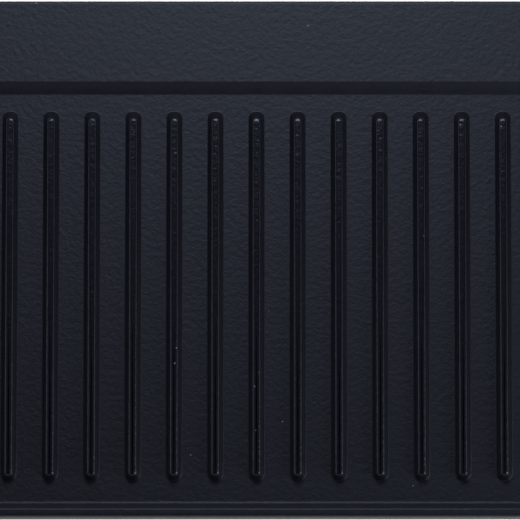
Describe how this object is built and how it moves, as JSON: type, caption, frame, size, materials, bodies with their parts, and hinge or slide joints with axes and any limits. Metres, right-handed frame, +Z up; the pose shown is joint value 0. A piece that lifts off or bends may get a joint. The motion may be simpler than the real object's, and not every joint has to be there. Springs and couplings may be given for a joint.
{
  "type": "reversible grill plate",
  "caption": "Rectangular cast-iron cooking plate with a ribbed tray on one face, a flat griddle with a grease trough on the other, and a swinging wire handle at each end.",
  "frame": {"origin": "under the middle of the whole object, on the surface that it stands on, ribs up", "axes": "+X along the plate's length to the right, +Y to the long side with the wide raised band, +Z up out of the ribbed face"},
  "size_m": [0.5254, 0.2406, 0.015],
  "materials": {
    "casting": "matt black enamel over a fine cast grain",
    "wire": "drawn stainless wire"
  },
  "bodies": {
    "plate": {"grill_plate": "casting"},
    "right_grip": {"right_handle": "wire"},
    "left_grip": {"left_handle": "wire"}
  },
  "joints": [
    {"name": "right_handle_swing", "type": "hinge", "parent": "plate", "child": "right_grip", "pos_m": [0.2185, 0, 0.0075], "axis": [0, -1, 0], "range_deg": [0, 135]},
    {"name": "left_handle_swing", "type": "hinge", "parent": "plate", "child": "left_grip", "pos_m": [-0.2185, 0, 0.0075], "axis": [0, 1, 0], "range_deg": [0, 135]}
  ]
}
